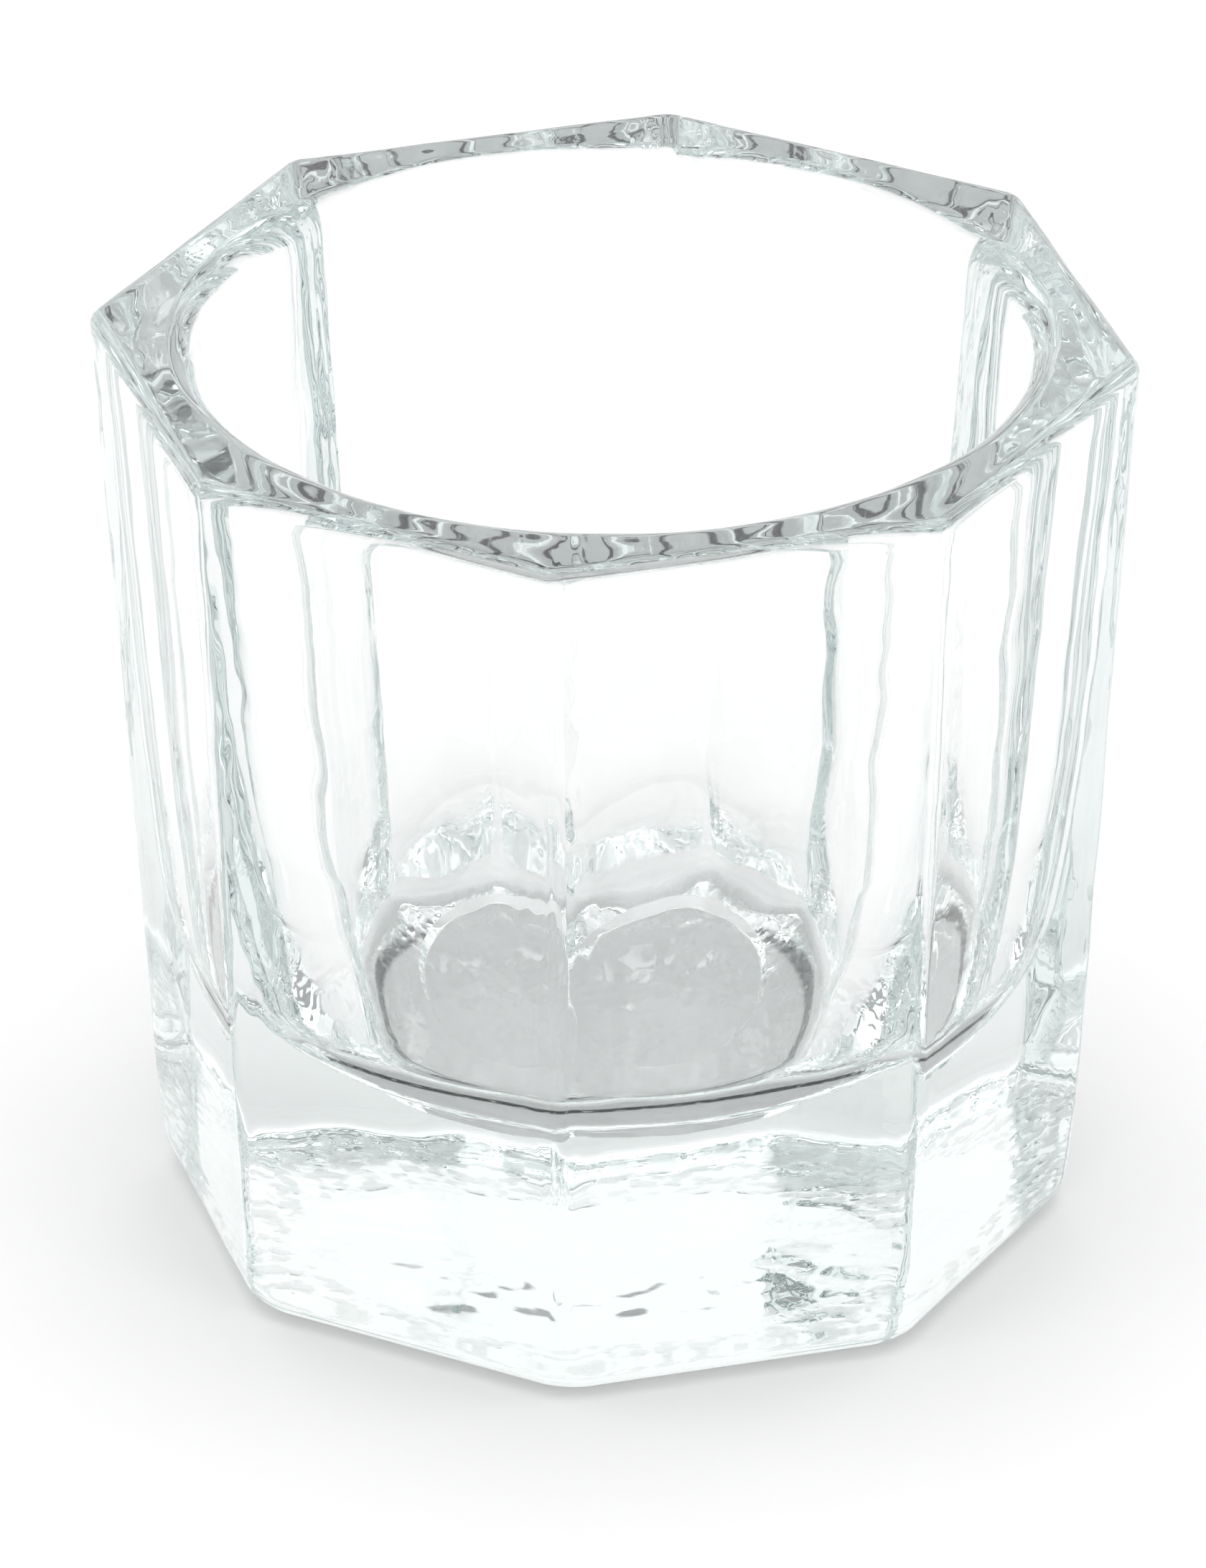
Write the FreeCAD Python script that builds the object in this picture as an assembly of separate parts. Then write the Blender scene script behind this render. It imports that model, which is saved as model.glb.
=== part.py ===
"""Octagonal glass dappen dish: one piece of pressed glass, written as one STEP file.

The outside is a tapered octagon that is widest at the rim. Its upright edges are crisp, and soften
only where they run into the foot. A round well for liquid opens at the rim and leans in more below
its knee. Its floor falls gently to a shallow round mark in the middle, over a heavy base. The underside
has a shallow round recess, so that the dish stands on the ring of glass round it. Units are
millimetres. +Z points up, and the origin is the middle of the foot. Flat sides face +X, -X, +Y and -Y.
"""

import FreeCAD, Part

import math
import os

from FreeCAD import Vector

# Overall sizes
height = 28.0
side_count = 8
rim_across_flats = 28.55
foot_across_flats = 25.19

# Softened outer edges, as the mould and the fire polish leave them
upright_edge_radius = 0.8
foot_corner_radius = 2.4
foot_corner_height = 3.5
rim_edge_radius = 0.5
foot_edge_radius = 1.2

# The well: a tapered round wall that leans in more below the knee, a rounded turn and a sloping floor
rim_wall = 2.1
rim_lip_radius = 0.9
wall_taper_deg = 6.0
knee_height = 12.5
knee_radius = 30.0
lower_taper_deg = 15.0
floor_turn_radius = 2.0
floor_slope_deg = 12.0
base_thickness = 6.9

# The round mark that the plunger leaves in the middle of the floor
mark_radius = 5.3
mark_depth = 0.2
mark_draft_deg = 35.0

# The recess under the base, inside the ring that the dish stands on
foot_ring_width = 5.6
recess_depth = 0.3
recess_slope_deg = 15.0

# How far a cutting tool passes the face that it opens through
overcut = 1.0

recess_radius = foot_across_flats / 2 - foot_ring_width


def octagon_wire(across_flats, corner_radius, z):
    """Closed octagon at height z with rounded corners and flat sides facing the X and Y axes."""
    half_turn = math.pi / side_count
    # The corner arcs are centred on a smaller octagon, one corner radius inside this one.
    arc_centre_distance = (across_flats / 2 - corner_radius) / math.cos(half_turn)

    def on_arc(corner_angle, offset_angle):
        angle = corner_angle + offset_angle
        return Vector(
            arc_centre_distance * math.cos(corner_angle) + corner_radius * math.cos(angle),
            arc_centre_distance * math.sin(corner_angle) + corner_radius * math.sin(angle),
            z,
        )

    corner_angles = [half_turn * (2 * index + 1) for index in range(side_count)]
    edges = []
    for this_corner, next_corner in zip(corner_angles, corner_angles[1:] + corner_angles[:1]):
        arc_start, arc_middle, arc_end = (on_arc(this_corner, k * half_turn) for k in (-1, 0, 1))
        edges.append(Part.Arc(arc_start, arc_middle, arc_end).toShape())
        edges.append(Part.makeLine(arc_end, on_arc(next_corner, -half_turn)))
    return Part.Wire(edges)


def lies_at(edge, z):
    """True for an edge that lies flat at height z."""
    return all(abs(vertex.Z - z) < 1e-3 for vertex in edge.Vertexes)


def outer_body():
    """The tapered octagon with its rim and foot edges rounded."""
    across_flats_gain = (rim_across_flats - foot_across_flats) / height
    crisp_across_flats = foot_across_flats + across_flats_gain * foot_corner_height
    sections = [
        octagon_wire(foot_across_flats, foot_corner_radius, 0),
        octagon_wire(crisp_across_flats, upright_edge_radius, foot_corner_height),
        octagon_wire(rim_across_flats, upright_edge_radius, height),
    ]
    body = Part.makeLoft(sections, True, True)
    body = body.makeFillet(rim_edge_radius, [e for e in body.Edges if lies_at(e, height)])
    return body.makeFillet(foot_edge_radius, [e for e in body.Edges if lies_at(e, 0)])


def turned(corners):
    """Solid of revolution about Z from corners in the XZ plane, each with its x, z and radius."""
    points = [Vector(x, 0, z) for x, z, _ in corners]
    bends = []
    for before, corner, after, (_, _, radius) in zip(
        points[-1:] + points[:-1], points, points[1:] + points[:1], corners
    ):
        to_before = (before - corner).normalize()
        to_after = (after - corner).normalize()
        half_angle = to_before.getAngle(to_after) / 2
        reach = radius / math.tan(half_angle)
        bisector = (to_before + to_after).normalize()
        middle = corner + bisector * (radius / math.sin(half_angle) - radius)
        bends.append((corner + to_before * reach, middle, corner + to_after * reach))
    edges = []
    for (start, middle, end), (next_start, _, _), (_, _, radius) in zip(bends, bends[1:] + bends[:1], corners):
        if radius > 0:
            edges.append(Part.Arc(start, middle, end).toShape())
        if end.distanceToPoint(next_start) > 1e-6:
            edges.append(Part.makeLine(end, next_start))
    return Part.Face(Part.Wire(edges)).revolve(Vector(0, 0, 0), Vector(0, 0, 1), 360)


def well_cutter():
    """The space inside the well, carried past the rim and flared by the rounded lip."""
    taper, lower_taper, floor_slope, mark_draft = (
        math.tan(math.radians(angle))
        for angle in (wall_taper_deg, lower_taper_deg, floor_slope_deg, mark_draft_deg)
    )
    mouth_radius = rim_across_flats / 2 - rim_wall
    knee_radius_out = mouth_radius - (height - knee_height) * taper

    # The lower wall's line and the floor's line cross at the corner that the turn rounds.
    drop = knee_height - base_thickness + mark_radius * floor_slope
    corner_radius_out = (knee_radius_out - drop * lower_taper) / (1 - floor_slope * lower_taper)
    corner_z = base_thickness + (corner_radius_out - mark_radius) * floor_slope

    # The lip is round from the flat of the rim to the wall, so the cutter flares above it.
    lean = math.atan(taper)
    lip_reach = rim_lip_radius * math.tan((math.pi / 2 - lean) / 2)
    flare_radius = mouth_radius + lip_reach
    return turned(
        [
            (0, height + overcut, 0),
            (flare_radius, height + overcut, 0),
            (flare_radius, height, 0),
            (mouth_radius, height, rim_lip_radius),
            (knee_radius_out, knee_height, knee_radius),
            (corner_radius_out, corner_z, floor_turn_radius),
            (mark_radius, base_thickness, 0),
            (mark_radius - mark_depth / mark_draft, base_thickness - mark_depth, 0),
            (0, base_thickness - mark_depth, 0),
        ]
    )


def recess_cutter():
    """The shallow recess under the base, which slopes gently down to the ring round it."""
    slope = recess_depth / math.tan(math.radians(recess_slope_deg))
    return turned(
        [
            (0, -overcut, 0),
            (recess_radius, -overcut, 0),
            (recess_radius, 0, 0),
            (recess_radius - slope, recess_depth, 0),
            (0, recess_depth, 0),
        ]
    )


def glass_dish():
    """The whole dish as one solid."""
    return outer_body().cut(well_cutter()).cut(recess_cutter())


def main():
    os.makedirs("parts", exist_ok=True)
    dish = glass_dish()
    solid = dish.Solids[0]
    print("solids", len(dish.Solids), "valid", solid.isValid(), "volume_mm3", round(solid.Volume, 1))
    solid.exportStep("parts/glass_dish.step")


main()
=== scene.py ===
"""Visual model of the glass dappen dish: one body of pressed glass on a pale studio table.

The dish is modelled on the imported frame, which gives its place, height and width. All lengths are
metres, and the dish's own axis is the Z axis.
"""

import logging
import math
from collections.abc import Callable
from dataclasses import dataclass, field
from enum import Enum

import bmesh
import bpy
from mathutils import Matrix, Vector


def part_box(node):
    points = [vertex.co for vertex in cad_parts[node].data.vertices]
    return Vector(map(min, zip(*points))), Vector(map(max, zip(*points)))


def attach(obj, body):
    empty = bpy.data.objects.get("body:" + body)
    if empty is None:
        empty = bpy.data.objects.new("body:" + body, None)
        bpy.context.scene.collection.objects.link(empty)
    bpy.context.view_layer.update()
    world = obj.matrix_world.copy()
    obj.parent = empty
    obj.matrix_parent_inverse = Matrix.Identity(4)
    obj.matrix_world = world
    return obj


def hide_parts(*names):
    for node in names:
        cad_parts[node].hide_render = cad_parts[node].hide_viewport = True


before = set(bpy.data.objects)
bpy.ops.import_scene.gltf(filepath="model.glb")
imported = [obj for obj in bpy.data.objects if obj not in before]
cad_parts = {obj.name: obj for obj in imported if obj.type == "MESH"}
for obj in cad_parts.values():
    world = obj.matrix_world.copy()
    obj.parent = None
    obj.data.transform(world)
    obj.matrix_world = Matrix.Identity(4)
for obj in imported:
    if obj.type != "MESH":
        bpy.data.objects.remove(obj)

MM = 0.001
SIDES = 8
HALF_SIDE = math.pi / SIDES
SAME_HEIGHT = 0.001 * MM
ON_AXIS = 0.0001 * MM
ARC_STEP_DEG = 6.0
ARC_LEAST_STEPS = 3
NODE = "glass_dish"
BODY = "root"
EDGE_NEARNESS = "edge_nearness"
MULTIPLY = {"operation": "MULTIPLY"}

# The rounded rim edge takes a little more than this off the widest point, so the dish stays inside
# the box that the frame gives.
RIM_ROUNDING_ALLOWANCE = 0.02 * MM

log = logging.getLogger("dappen_dish")


class Skin(Enum):
    """Parts of the glass surface, each with its own unevenness."""

    OUTSIDE = "outside"
    RIM = "rim"
    WELL = "well"
    MARK = "mark"
    UNDERSIDE = "underside"


@dataclass(frozen=True)
class Ripple:
    """A gentle unevenness that the mould and the fire polish leave on one part of the skin.

    Its depth is how far it dips below the true surface, and its width is the size of one dip.
    """

    skin: Skin
    depth: float
    width: float
    detail: int = 1


MOULD_RIPPLES = (
    Ripple(Skin.OUTSIDE, depth=0.08 * MM, width=3.2 * MM),
    Ripple(Skin.OUTSIDE, depth=0.012 * MM, width=0.9 * MM),
    Ripple(Skin.RIM, depth=0.07 * MM, width=3.0 * MM),
    Ripple(Skin.WELL, depth=0.045 * MM, width=4.2 * MM),
    Ripple(Skin.WELL, depth=0.012 * MM, width=1.1 * MM),
    Ripple(Skin.MARK, depth=0.06 * MM, width=0.8 * MM),
    Ripple(Skin.UNDERSIDE, depth=0.1 * MM, width=1.3 * MM, detail=2),
)


def linear_colour(hex_colour: str) -> tuple[float, float, float, float]:
    """Turn an sRGB hex colour into a linear one.

    Args:
        hex_colour: Six hex digits with a leading #.

    Returns:
        Linear red, green and blue, and an alpha of 1.
    """
    channels = [int(hex_colour[i : i + 2], 16) / 255 for i in (1, 3, 5)]
    linear = [c / 12.92 if c <= 0.04045 else ((c + 0.055) / 1.055) ** 2.4 for c in channels]
    return (*linear, 1.0)


def add_node(
    tree: bpy.types.NodeTree,
    kind: str,
    settings: dict[str, object] | None = None,
    inputs: dict[str | int, object] | None = None,
) -> bpy.types.Node:
    """Add one node with its settings, values and links.

    Args:
        tree: The node tree that gets the node.
        kind: The node's type name.
        settings: Properties of the node.
        inputs: For each input, a plain value or the output socket that feeds it.

    Returns:
        The new node.
    """
    node = tree.nodes.new(kind)
    for name, value in (settings or {}).items():
        setattr(node, name, value)
    for name, value in (inputs or {}).items():
        if isinstance(value, bpy.types.NodeSocket):
            tree.links.new(value, node.inputs[name])
        else:
            node.inputs[name].default_value = value
    return node


@dataclass(frozen=True)
class PressedGlass:
    """Clear soda-lime glass, pressed in a mould and fire-polished.

    The eye sees clear depth with a grey-green cast, drawn marks down the upright edges, and a duller,
    pitted ring where the foot was set down hot. In that ring a thin, broken dark line is painted shadow:
    the contact shade under the foot ring, painted into the glass's colour. The orange peel and the longer
    waves are in the mesh.
    """

    name: str = "pressed_soda_lime_glass"
    ior: float = 1.52
    tint: str = "#DEE7E6"
    tint_density: float = 26.0
    unshaded: str = "#FFFFFF"
    # The unshaded colour, and the dark colour of the painted contact shadow that the foot ring gets in a
    # broken line.
    painted_shadow: str = "#1E2024"
    mark_width: float = 0.4 * MM
    mark_length: float = 1.0 * MM
    streak_depth: float = 0.05 * MM
    pit_depth: float = 0.07 * MM
    ring_starts: float = 7.0 * MM
    ring_full: float = 7.8 * MM
    ring_top: float = 0.35 * MM
    ring_full_below: float = 0.15 * MM
    # Where the painted contact shadow lies on the foot ring, and how its patches start and fill.
    shadow_ring_inside: float = 9.8 * MM
    shadow_ring_outside: float = 10.6 * MM
    shadow_ring_fade: float = 0.3 * MM
    shadow_patch_starts_at: float = 0.2
    shadow_patch_full_at: float = 0.4
    dull_starts_at: float = 0.38
    dull_full_at: float = 0.6
    ring_roughness: float = 0.3
    polished_roughness: float = 0.004

    def build(self) -> bpy.types.Material:
        """Make the material."""
        material = bpy.data.materials.new(self.name)
        material.use_nodes = True
        tree = material.node_tree
        tree.nodes.clear()
        place = add_node(tree, "ShaderNodeTexCoord").outputs["Object"]
        marks = self._marks(tree, place)
        ring, painted_shadow = self._ring_masks(tree, place, marks)
        # The colour is painted shadow: dark under the foot ring, where the contact shade falls, white
        # elsewhere.
        colour = add_node(
            tree,
            "ShaderNodeMix",
            {"data_type": "RGBA"},
            # In a mix of colours, inputs 6 and 7 are the two colours and output 2 is the result.
            {"Factor": painted_shadow, 6: linear_colour(self.unshaded), 7: linear_colour(self.painted_shadow)},
        )
        shader = add_node(
            tree,
            "ShaderNodeBsdfPrincipled",
            inputs={
                "Base Color": colour.outputs[2],
                "Roughness": self._roughness(tree, marks, ring),
                "IOR": self.ior,
                "Transmission Weight": 1.0,
                "Normal": self._relief(tree, marks, ring),
            },
        )
        depth = add_node(
            tree,
            "ShaderNodeVolumeAbsorption",
            inputs={"Color": linear_colour(self.tint), "Density": self.tint_density},
        )
        add_node(
            tree,
            "ShaderNodeOutputMaterial",
            inputs={"Surface": shader.outputs["BSDF"], "Volume": depth.outputs["Volume"]},
        )
        return material

    def _marks(self, tree: bpy.types.NodeTree, place: bpy.types.NodeSocket) -> bpy.types.NodeSocket:
        """Draw soft blotches, longer upwards than across, for the streaks, the pits and the patches of
        painted shadow.

        Args:
            tree: The material's node tree.
            place: Where the point is on the dish.

        Returns:
            How strong the marks are there, around 0.5.
        """
        # One noise cell holds a dark and a light blotch, so the cell is twice the mark's size.
        cell = (2 * self.mark_width, 2 * self.mark_width, 2 * self.mark_length)
        fitted = add_node(
            tree, "ShaderNodeMapping", {"vector_type": "TEXTURE"}, {"Vector": place, "Scale": cell}
        )
        noise = add_node(
            tree,
            "ShaderNodeTexNoise",
            inputs={"Vector": fitted.outputs["Vector"], "Scale": 1.0, "Detail": 1.0},
        )
        return noise.outputs["Fac"]

    def _ring_masks(
        self, tree: bpy.types.NodeTree, place: bpy.types.NodeSocket, marks: bpy.types.NodeSocket
    ) -> tuple[bpy.types.NodeSocket, bpy.types.NodeSocket]:
        """Mark the ring that the dish stands on, and the broken line of painted contact shadow in that
        ring.

        Args:
            tree: The material's node tree.
            place: Where the point is on the dish.
            marks: The blotches that break the painted shadow up.

        Returns:
            How much a point belongs to the ring, and how much to the painted shadow, from 0 to 1.
        """
        parts = add_node(tree, "ShaderNodeSeparateXYZ", inputs={"Vector": place}).outputs
        flat = add_node(tree, "ShaderNodeCombineXYZ", inputs={"X": parts["X"], "Y": parts["Y"]})
        length = add_node(
            tree, "ShaderNodeVectorMath", {"operation": "LENGTH"}, {0: flat.outputs["Vector"]}
        )
        radius = length.outputs["Value"]
        # Each rises from 0 at its first value to 1 at its second, which may be the lower of the two.
        low, past_recess, past_inside, short_of_outside, patchy = (
            add_node(
                tree,
                "ShaderNodeMapRange",
                inputs={"Value": value, "From Min": starts, "From Max": full},
            ).outputs["Result"]
            for value, starts, full in (
                (parts["Z"], self.ring_top, self.ring_full_below),
                (radius, self.ring_starts, self.ring_full),
                (radius, self.shadow_ring_inside - self.shadow_ring_fade, self.shadow_ring_inside),
                (radius, self.shadow_ring_outside + self.shadow_ring_fade, self.shadow_ring_outside),
                (marks, self.shadow_patch_starts_at, self.shadow_patch_full_at),
            )
        )
        ring = add_node(tree, "ShaderNodeMath", MULTIPLY, {0: past_recess, 1: low}).outputs[0]
        # The painted contact shadow: under the foot ring, between its inner and outer edges, in patches.
        painted_shadow = low
        for share in (past_inside, short_of_outside, patchy):
            painted_shadow = add_node(tree, "ShaderNodeMath", MULTIPLY, {0: painted_shadow, 1: share}).outputs[0]
        return ring, painted_shadow

    def _roughness(
        self, tree: bpy.types.NodeTree, marks: bpy.types.NodeSocket, ring: bpy.types.NodeSocket
    ) -> bpy.types.NodeSocket:
        """Dull the ring in patches, and leave the rest polished.

        Args:
            tree: The material's node tree.
            marks: The blotches that the dull patches follow.
            ring: How much a point belongs to the ring.

        Returns:
            The roughness.
        """
        dull = add_node(tree, "ShaderNodeMath", MULTIPLY, {0: ring, 1: marks}).outputs[0]
        return add_node(
            tree,
            "ShaderNodeMapRange",
            {"interpolation_type": "SMOOTHSTEP"},
            {
                "Value": dull,
                "From Min": self.dull_starts_at,
                "From Max": self.dull_full_at,
                "To Min": self.polished_roughness,
                "To Max": self.ring_roughness,
            },
        ).outputs["Result"]

    def _relief(
        self, tree: bpy.types.NodeTree, marks: bpy.types.NodeSocket, ring: bpy.types.NodeSocket
    ) -> bpy.types.NodeSocket:
        """Raise streaks along the upright edges and pits in the ring.

        Args:
            tree: The material's node tree.
            marks: The blotches that become streaks and pits.
            ring: How much a point belongs to the ring.

        Returns:
            The normal of the uneven surface.
        """
        edge = add_node(tree, "ShaderNodeAttribute", {"attribute_name": EDGE_NEARNESS}).outputs["Fac"]
        streaks = add_node(tree, "ShaderNodeMath", MULTIPLY, {0: edge, 1: self.streak_depth}).outputs[0]
        pits = add_node(tree, "ShaderNodeMath", MULTIPLY, {0: ring, 1: self.pit_depth}).outputs[0]
        depth = add_node(tree, "ShaderNodeMath", {"operation": "ADD"}, {0: streaks, 1: pits}).outputs[0]
        height = add_node(tree, "ShaderNodeMath", MULTIPLY, {0: marks, 1: depth}).outputs[0]
        bump = add_node(tree, "ShaderNodeBump", inputs={"Distance": 1.0, "Height": height})
        return bump.outputs["Normal"]


@dataclass(frozen=True)
class StudioTable:
    """Matt white laminate. The eye sees an even, shineless white that lights the glass from below."""

    name: str = "matt_white_laminate"
    colour: str = "#F0F0F0"
    roughness: float = 0.9

    def build(self) -> bpy.types.Material:
        """Make the material."""
        material = bpy.data.materials.new(self.name)
        material.use_nodes = True
        shader = material.node_tree.nodes["Principled BSDF"]
        shader.inputs["Base Color"].default_value = linear_colour(self.colour)
        shader.inputs["Roughness"].default_value = self.roughness
        shader.inputs["Specular IOR Level"].default_value = 0.0
        return material


def select(kind: str, test: Callable[[object], bool]) -> None:
    """Select the edges or faces of the mesh in edit mode that pass a test, and nothing else.

    Args:
        kind: EDGE or FACE.
        test: Says whether one edge or face is wanted.
    """
    bpy.ops.mesh.select_mode(type=kind)
    bpy.ops.mesh.select_all(action="DESELECT")
    mesh = bpy.context.object.data
    work = bmesh.from_edit_mesh(mesh)
    for element in work.edges if kind == "EDGE" else work.faces:
        if test(element):
            element.select_set(True)
    work.select_flush_mode()
    bmesh.update_edit_mesh(mesh)


def lies_at(edge: bmesh.types.BMEdge, z: float) -> bool:
    """True for an edge whose two ends are at height z."""
    return all(abs(vertex.co.z - z) < SAME_HEIGHT for vertex in edge.verts)


def ramp(value: float, start: float, end: float) -> float:
    """Rise smoothly from 0 at the start to 1 at the end, which may be the lower of the two."""
    share = min(1.0, max(0.0, (value - start) / (end - start)))
    return share * share * (3 - 2 * share)


def softened(corners: list[tuple[float, float, float]], spacing: float) -> list[tuple[float, float]]:
    """Trace an outline through corners that are rounded by arcs.

    Args:
        corners: Radius, height and rounding radius of each corner. The two ends aren't rounded.
        spacing: Longest step along a straight run.

    Returns:
        Radius and height of each point, from one end to the other.
    """
    runs: list[list[Vector]] = [[Vector(corners[0][:2])]]
    for before, corner, after in zip(corners, corners[1:], corners[2:]):
        middle = Vector(corner[:2])
        to_before = (Vector(before[:2]) - middle).normalized()
        to_after = (Vector(after[:2]) - middle).normalized()
        half_angle = to_before.angle(to_after) / 2
        reach = corner[2] / math.tan(half_angle)
        centre = middle + (to_before + to_after).normalized() * corner[2] / math.sin(half_angle)
        first = middle + to_before * reach - centre
        turn = math.pi - 2 * half_angle
        sign = 1 if first.cross(middle + to_after * reach - centre) > 0 else -1
        steps = max(ARC_LEAST_STEPS, math.ceil(math.degrees(turn) / ARC_STEP_DEG))
        angles = [sign * turn * step / steps for step in range(steps + 1)]
        runs.append([centre + Matrix.Rotation(angle, 2) @ first for angle in angles])
    runs.append([Vector(corners[-1][:2])])

    outline = list(runs[0])
    for run in runs[1:]:
        gap = run[0] - outline[-1]
        steps = max(1, math.ceil(gap.length / spacing))
        start = outline[-1]
        outline += [start + gap * step / steps for step in range(1, steps)]
        outline += run
    return [(point.x, point.y) for point in outline]


@dataclass
class GlassDish:
    """The whole dish: an octagon outside, a round well inside and a recess under the base."""

    height: float
    rim_half_flats: float
    foot_half_flats: float = 12.595 * MM
    upright_edge_radius: float = 0.8 * MM
    foot_corner_radius: float = 2.4 * MM
    foot_corner_height: float = 3.5 * MM
    foot_edge_radius: float = 1.2 * MM
    foot_edge_steps: int = 10
    rim_edge_radius: float = 0.5 * MM
    rim_edge_steps: int = 8
    mouth_radius: float = 12.175 * MM
    lip_radius: float = 0.9 * MM
    lip_land_radius: float = 13.2 * MM
    wall_taper_deg: float = 6.0
    knee_height: float = 12.5 * MM
    knee_radius: float = 30.0 * MM
    lower_taper_deg: float = 15.0
    floor_height: float = 6.5 * MM
    floor_turn_radius: float = 2.8 * MM
    floor_slope_deg: float = 20.0
    mark_radius: float = 5.3 * MM
    mark_depth: float = 0.3 * MM
    mark_slope: float = 0.3 * MM
    mark_edge_radius: float = 0.12 * MM
    recess_radius: float = 6.995 * MM
    recess_depth: float = 0.3 * MM
    recess_slope: float = 5.6 * MM
    recess_edge_radius: float = 30.0 * MM
    recess_surround: float = 2.0 * MM
    ring_spacing: float = 0.35 * MM
    corner_steps: int = 8
    flat_steps: int = 12
    rim_face_cuts: int = 3
    foot_face_cuts: int = 8
    rim_skin_starts: float = 1.6 * MM
    rim_skin_full: float = 0.5 * MM
    underside_skin_starts: float = 0.1 * MM
    underside_skin_full: float = 0.8 * MM
    well_skin_reach: float = 0.3 * MM
    streaks_start_deg: float = 6.0
    streaks_full_deg: float = 2.0
    finish: PressedGlass = field(default_factory=PressedGlass)
    ripples: tuple[Ripple, ...] = MOULD_RIPPLES

    @property
    def steps_round(self) -> int:
        """Number of vertices in each ring."""
        return SIDES * (self.corner_steps + self.flat_steps)

    def build(self) -> bpy.types.Object:
        """Model the dish, give it its finish and tie it to the frame.

        Returns:
            The finished piece.
        """
        self._walls()
        self._round_rim_and_foot()
        self._refine_walls()
        self._well()
        self._recess()
        bpy.ops.mesh.select_all(action="SELECT")
        bpy.ops.mesh.normals_make_consistent(inside=False)
        bpy.ops.object.mode_set(mode="OBJECT")
        piece = bpy.context.object
        piece.name = piece.data.name = "pressed_glass_body"
        self._note_edges(piece)
        self._ripple(piece)
        bpy.ops.object.shade_smooth()
        weighted = piece.modifiers.new("even_normals", "WEIGHTED_NORMAL")
        bpy.ops.object.modifier_apply(modifier=weighted.name)
        piece.data.materials.append(self.finish.build())
        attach(piece, BODY)
        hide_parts(NODE)
        return piece

    def _octagon(self, half_flats: float, corner_radius: float, z: float, first: bool) -> None:
        """Add an octagon with rounded corners and subdivided flats, filled with one face.

        Args:
            half_flats: Distance from the axis to a flat.
            corner_radius: Rounding of the corners.
            z: Height of the octagon.
            first: Whether it starts the mesh. The first one also opens edit mode.
        """
        operators = bpy.ops.object if first else bpy.ops.mesh
        operators.select_all(action="DESELECT")
        bpy.ops.mesh.primitive_circle_add(
            vertices=SIDES,
            radius=half_flats / math.cos(HALF_SIDE),
            fill_type="NGON",
            location=(0, 0, 0 if first else z),
        )
        if first:
            # The new object stays at the origin, and only its mesh moves up.
            bpy.ops.object.mode_set(mode="EDIT")
            bpy.ops.transform.translate(value=(0, 0, z))
        bpy.ops.transform.rotate(value=HALF_SIDE, orient_axis="Z", center_override=(0, 0, z))
        bpy.ops.mesh.bevel(
            offset=corner_radius * math.tan(HALF_SIDE),
            segments=self.corner_steps,
            profile=0.5,
            affect="VERTICES",
        )
        # A flat is almost twice as long as this, and the edges of a rounded corner are far shorter.
        shortest_flat = half_flats * math.tan(HALF_SIDE)
        select("EDGE", lambda e: lies_at(e, z) and e.calc_length() > shortest_flat)
        bpy.ops.mesh.subdivide(number_cuts=self.flat_steps - 1)

    def _walls(self) -> None:
        """Raise the tapered octagonal wall through three sections, closed at both ends."""
        slope = (self.rim_half_flats - self.foot_half_flats) / self.height
        crisp = self.foot_half_flats + slope * self.foot_corner_height
        self._octagon(self.foot_half_flats, self.foot_corner_radius, 0.0, first=True)
        self._octagon(crisp, self.upright_edge_radius, self.foot_corner_height, first=False)
        self._octagon(self.rim_half_flats, self.upright_edge_radius, self.height, first=False)
        select("FACE", lambda f: abs(f.calc_center_median().z - self.foot_corner_height) < SAME_HEIGHT)
        bpy.ops.mesh.delete(type="ONLY_FACE")
        for low, high in ((0.0, self.foot_corner_height), (self.foot_corner_height, self.height)):
            select("EDGE", lambda e: lies_at(e, low) or lies_at(e, high))
            bpy.ops.mesh.bridge_edge_loops()

    def _round_rim_and_foot(self) -> None:
        """Round the edge round the rim and the edge round the foot, and open both ends."""
        for z, radius, steps in (
            (0.0, self.foot_edge_radius, self.foot_edge_steps),
            (self.height, self.rim_edge_radius, self.rim_edge_steps),
        ):
            select("EDGE", lambda e: lies_at(e, z))
            bpy.ops.mesh.bevel(offset=radius, segments=steps, profile=0.5, affect="EDGES")
            select("FACE", lambda f: len(f.verts) > 4 and abs(f.calc_center_median().z - z) < SAME_HEIGHT)
            bpy.ops.mesh.delete(type="ONLY_FACE")

    def _refine_walls(self) -> None:
        """Cut the tall wall faces into rings, so that the ripples can bend them."""
        crisp_from = self.foot_corner_height
        slack = 0.1 * MM
        for low, high in ((self.foot_edge_radius, crisp_from), (crisp_from, self.height)):
            # The rounded edges take a little off a stretch, so an upright edge needn't span all of it.
            least = (high - low) * 0.6

            def is_upright(edge: bmesh.types.BMEdge) -> bool:
                """True for an edge that climbs this stretch of the wall."""
                bottom, top = sorted(vertex.co.z for vertex in edge.verts)
                return top - bottom > least and bottom > low - slack and top < high + slack

            select("EDGE", is_upright)
            bpy.ops.mesh.subdivide(number_cuts=round((high - low) / self.ring_spacing))

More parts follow.
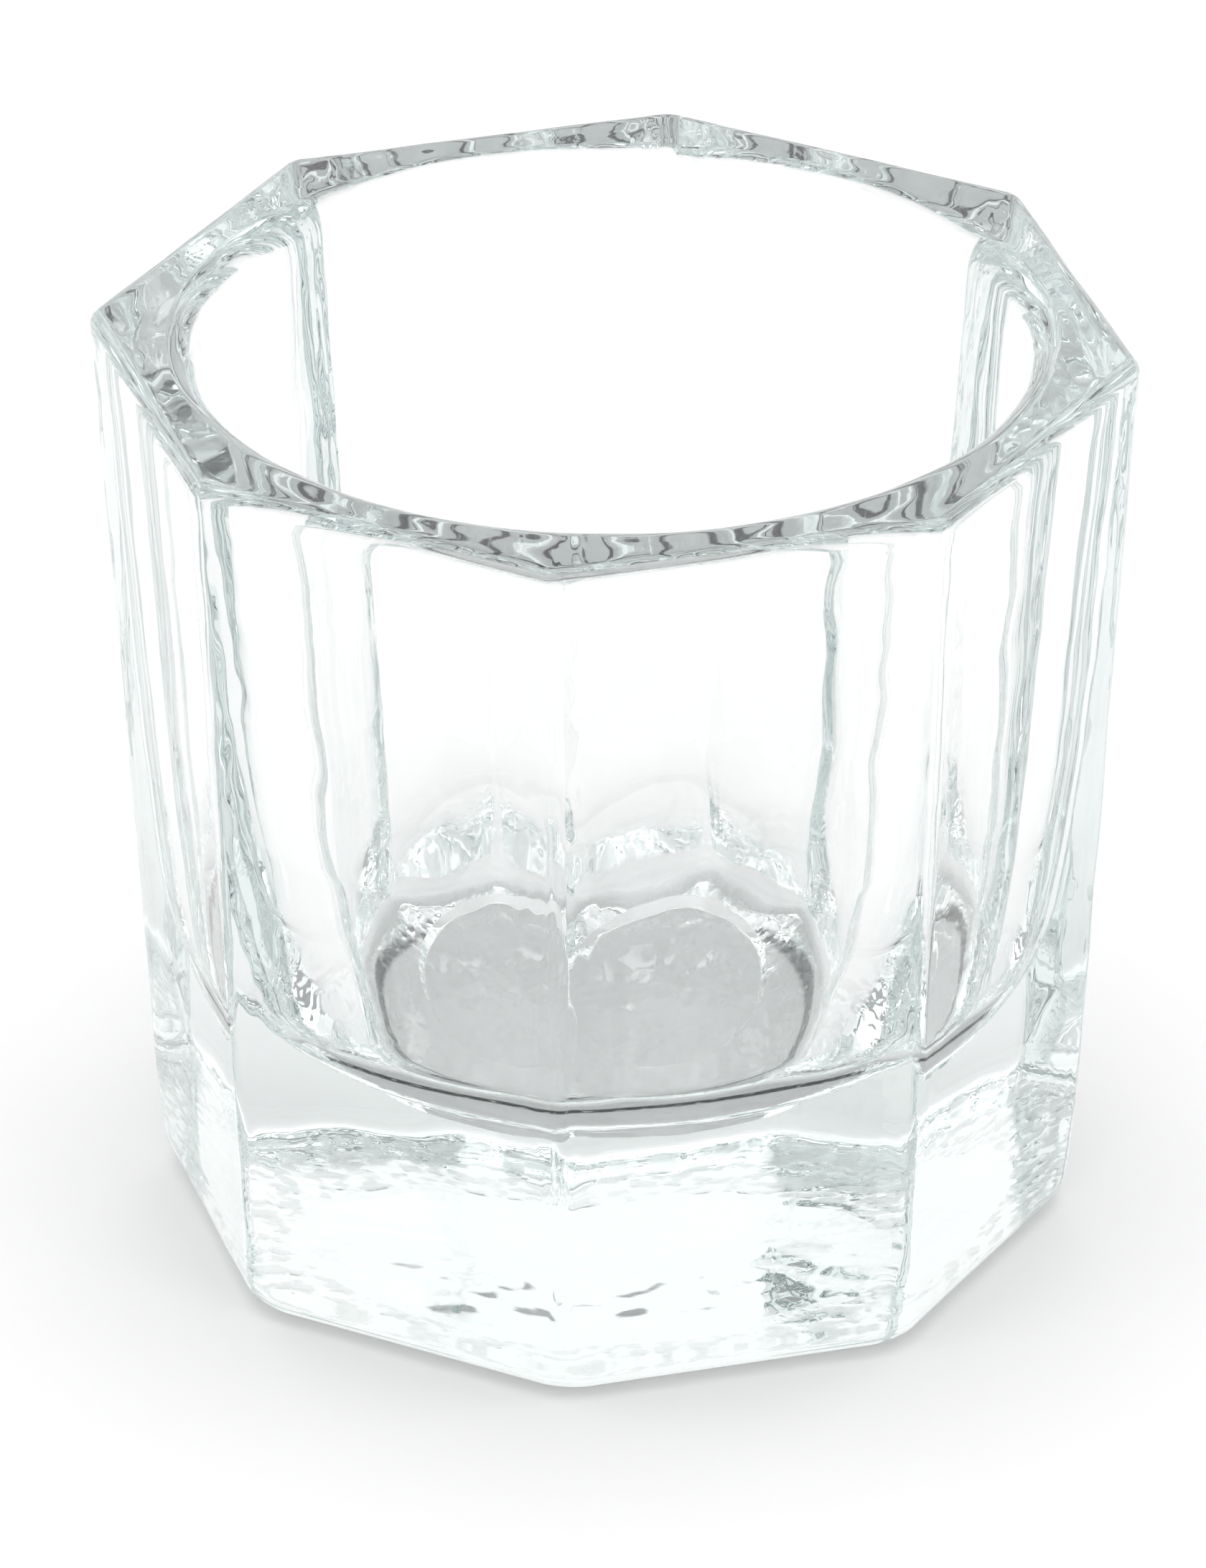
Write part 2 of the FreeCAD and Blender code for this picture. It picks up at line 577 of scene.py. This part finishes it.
    def _sweep(self, outline: list[tuple[float, float]]) -> None:
        """Add a ring and carry it through an outline that ends on the axis, where it closes.

        Args:
            outline: Radius and height of each point.
        """
        radius, z = outline[0]
        bpy.ops.mesh.select_mode(type="EDGE")
        bpy.ops.mesh.select_all(action="DESELECT")
        bpy.ops.mesh.primitive_circle_add(vertices=self.steps_round, radius=radius, location=(0, 0, z))
        for next_radius, next_z in outline[1:]:
            bpy.ops.mesh.extrude_region_move(TRANSFORM_OT_translate={"value": (0, 0, next_z - z)})
            if next_radius < ON_AXIS:
                bpy.ops.mesh.merge(type="CENTER")
                return
            scale = next_radius / radius
            bpy.ops.transform.resize(value=(scale, scale, 1), center_override=(0, 0, next_z))
            radius, z = next_radius, next_z

    def _join_loops(self, z: float, cuts: int) -> None:
        """Bridge the two open loops at one height with faces that are cut into rings."""
        select("EDGE", lambda e: lies_at(e, z) and len(e.link_faces) == 1)
        bpy.ops.mesh.bridge_edge_loops(number_cuts=cuts, interpolation="LINEAR")

    def _well(self) -> None:
        """Sink the well: lip, leaning wall, rounded turn, sloping floor and the round mark in it."""
        taper, lower_taper, slope = (
            math.tan(math.radians(angle))
            for angle in (self.wall_taper_deg, self.lower_taper_deg, self.floor_slope_deg)
        )
        knee = self.mouth_radius - (self.height - self.knee_height) * taper
        # The lower wall's line and the floor's line cross at the corner that the turn rounds.
        drop = self.knee_height - self.floor_height + self.mark_radius * slope
        floor_corner = (knee - drop * lower_taper) / (1 - slope * lower_taper)
        corner_height = self.floor_height + (floor_corner - self.mark_radius) * slope
        outline = softened(
            [
                (self.lip_land_radius, self.height, 0),
                (self.mouth_radius, self.height, self.lip_radius),
                (knee, self.knee_height, self.knee_radius),
                (floor_corner, corner_height, self.floor_turn_radius),
                (self.mark_radius, self.floor_height, self.mark_edge_radius),
                (
                    self.mark_radius - self.mark_slope,
                    self.floor_height - self.mark_depth,
                    self.mark_edge_radius,
                ),
                (0, self.floor_height - self.mark_depth, 0),
            ],
            self.ring_spacing,
        )
        self._sweep(outline)
        self._join_loops(self.height, self.rim_face_cuts)

    def _recess(self) -> None:
        """Sink the shallow recess under the base, so gently that no edge shows through the glass."""
        outline = softened(
            [
                (self.recess_radius + self.recess_surround, 0, 0),
                (self.recess_radius, 0, self.recess_edge_radius),
                (self.recess_radius - self.recess_slope, self.recess_depth, self.recess_edge_radius),
                (0, self.recess_depth, 0),
            ],
            self.ring_spacing,
        )
        self._sweep(outline)
        self._join_loops(0.0, self.foot_face_cuts)

    def _weights(self, vertex: bpy.types.MeshVertex) -> dict[Skin, float]:
        """Say how much a vertex belongs to each part of the skin.

        Args:
            vertex: A vertex of the smooth dish.

        Returns:
            A weight from 0 to 1 for each part.
        """
        radius, z = math.hypot(vertex.co.x, vertex.co.y), vertex.co.z
        taper = math.tan(math.radians(self.wall_taper_deg))
        well_wall = self.mouth_radius - (self.height - z) * taper + self.well_skin_reach
        mark_bottom = self.floor_height - self.mark_depth
        foot_edge = self.foot_half_flats - self.foot_edge_radius
        slack = 0.01 * MM

        rim = ramp(z, self.height - self.rim_skin_starts, self.height - self.rim_skin_full)
        weights = dict.fromkeys(Skin, 0.0)
        weights[Skin.RIM] = rim
        if radius < self.mark_radius and abs(z - mark_bottom) < slack:
            weights[Skin.MARK] = 1.0
        elif radius < well_wall and z > mark_bottom - self.mark_depth:
            weights[Skin.WELL] = 1 - rim
        elif z < self.recess_depth + slack and radius < foot_edge:
            weights[Skin.UNDERSIDE] = ramp(
                radius, foot_edge - self.underside_skin_starts, foot_edge - self.underside_skin_full
            )
        else:
            weights[Skin.OUTSIDE] = (1 - rim) * ramp(z, 0, self.foot_edge_radius)
        return weights

    def _ripple(self, piece: bpy.types.Object) -> None:
        """Press the unevenness of the glass into the skin, always inwards.

        Args:
            piece: The smooth dish.
        """
        groups = {skin: piece.vertex_groups.new(name=skin.value) for skin in Skin}
        for vertex in piece.data.vertices:
            for skin, weight in self._weights(vertex).items():
                if weight > 0:
                    groups[skin].add([vertex.index], weight, "REPLACE")
        for index, ripple in enumerate(self.ripples):
            texture = bpy.data.textures.new(f"ripple_{index}", "CLOUDS")
            texture.noise_scale = ripple.width
            texture.noise_depth = ripple.detail
            modifier = piece.modifiers.new(f"ripple_{index}", "DISPLACE")
            modifier.texture = texture
            modifier.texture_coords = "LOCAL"
            modifier.vertex_group = ripple.skin.value
            modifier.strength = ripple.depth
            # With this middle, the texture's brightest spots stay put and the rest sinks in.
            modifier.mid_level = 1.0
            bpy.ops.object.modifier_apply(modifier=modifier.name)

    def _note_edges(self, piece: bpy.types.Object) -> None:
        """Store how near each vertex is to an upright edge of the outside, from 0 to 1.

        Args:
            piece: The dish, still without its ripples.
        """
        side_deg = 360 / SIDES
        nearness = piece.data.attributes.new(EDGE_NEARNESS, "FLOAT", "POINT")
        for vertex in piece.data.vertices:
            if self._weights(vertex)[Skin.OUTSIDE] > 0:
                turn_deg = math.degrees(math.atan2(vertex.co.y, vertex.co.x)) % side_deg
                from_edge_deg = abs(turn_deg - side_deg / 2)
                nearness.data[vertex.index].value = ramp(
                    from_edge_deg, self.streaks_start_deg, self.streaks_full_deg
                )


@dataclass
class Studio:
    """The table, the soft light round it and the camera.

    The light is a wide glow from the table up to the gap, a dimmer gap between the screens, and a
    brighter panel overhead. The gap keeps the glass from looking white all over.
    """

    table_width: float = 4.0
    table_drop: float = 0.02 * MM
    aim_height: float = 13.24 * MM
    aim_right: float = -0.3256 * MM
    distance: float = 0.4606
    azimuth_deg: float = -16.0
    elevation_deg: float = 27.8327
    roll_deg: float = -0.153
    lens: float = 359.9
    sensor_width: float = 36.0
    clip_start: float = 0.01
    surround: float = 1.2
    gap: float = 0.46
    overhead: float = 2.0
    gap_bottom_deg: float = 46.0
    gap_top_deg: float = 57.0
    gap_blur_deg: float = 1.5
    glass_bounces: int = 32
    mirror_bounces: int = 16
    table: StudioTable = field(default_factory=StudioTable)

    def build(self) -> None:
        """Set the stage, light it and place the camera."""
        self._table()
        self._light()
        self._camera()
        scene = bpy.context.scene
        scene.view_settings.view_transform = "Standard"
        scene.cycles.max_bounces = self.glass_bounces
        scene.cycles.transmission_bounces = self.glass_bounces
        scene.cycles.glossy_bounces = self.mirror_bounces
        scene.cycles.use_denoising = True

    def _table(self) -> None:
        """Lay the pale table a hair under the dish, so that no two faces share a plane."""
        bpy.ops.object.select_all(action="DESELECT")
        bpy.ops.mesh.primitive_plane_add(size=self.table_width, location=(0, 0, -self.table_drop))
        table = bpy.context.object
        table.name = "table"
        table.data.materials.append(self.table.build())

    def _light(self) -> None:
        """Surround the dish with soft studio light."""
        world = bpy.data.worlds.new("studio")
        bpy.context.scene.world = world
        world.use_nodes = True
        tree = world.node_tree
        background = tree.nodes["Background"]
        direction = add_node(tree, "ShaderNodeTexCoord").outputs["Generated"]
        climb = add_node(tree, "ShaderNodeSeparateXYZ", inputs={"Vector": direction}).outputs["Z"]
        light = add_node(tree, "ShaderNodeValToRGB", inputs={"Fac": climb})
        # A new ramp has two stops, and the others are added.
        stops = light.color_ramp.elements
        for index, (elevation_deg, brightness) in enumerate(
            (
                (self.gap_bottom_deg - self.gap_blur_deg, self.surround),
                (self.gap_bottom_deg + self.gap_blur_deg, self.gap),
                (self.gap_top_deg - self.gap_blur_deg, self.gap),
                (self.gap_top_deg + self.gap_blur_deg, self.overhead),
            )
        ):
            stop = stops[index] if index < 2 else stops.new(1.0)
            stop.position = math.sin(math.radians(elevation_deg))
            stop.color = (brightness / self.overhead,) * 3 + (1.0,)
        tree.links.new(light.outputs["Color"], background.inputs["Color"])
        background.inputs["Strength"].default_value = self.overhead

    def _camera(self) -> None:
        """Place the camera and make it the scene's."""
        azimuth, elevation = math.radians(self.azimuth_deg), math.radians(self.elevation_deg)
        back = Vector(
            (
                math.sin(azimuth) * math.cos(elevation),
                -math.cos(azimuth) * math.cos(elevation),
                math.sin(elevation),
            )
        )
        right = Vector((math.cos(azimuth), math.sin(azimuth), 0))
        place = Vector((0, 0, self.aim_height)) + right * self.aim_right + back * self.distance
        turned = Matrix((right, back.cross(right), back)).transposed().to_4x4()
        lens = bpy.data.cameras.new("camera")
        lens.sensor_width = self.sensor_width
        lens.lens = self.lens
        lens.clip_start = self.clip_start
        camera = bpy.data.objects.new("camera", lens)
        bpy.context.scene.collection.objects.link(camera)
        camera.matrix_world = (
            Matrix.Translation(place) @ turned @ Matrix.Rotation(math.radians(self.roll_deg), 4, "Z")
        )
        bpy.context.scene.camera = camera


def main() -> None:
    """Build the dish and the studio, and log the dish's face count."""
    logging.basicConfig(level=logging.INFO, format="%(name)s: %(message)s")
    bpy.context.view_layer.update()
    low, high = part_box(NODE)
    half_width = (high[0] - low[0]) / 2
    dish = GlassDish(height=high[2] - low[2], rim_half_flats=half_width + RIM_ROUNDING_ALLOWANCE)
    piece = dish.build()
    log.info("%s: %d faces", piece.name, len(piece.data.polygons))
    Studio().build()


if __name__ == "__main__":
    main()
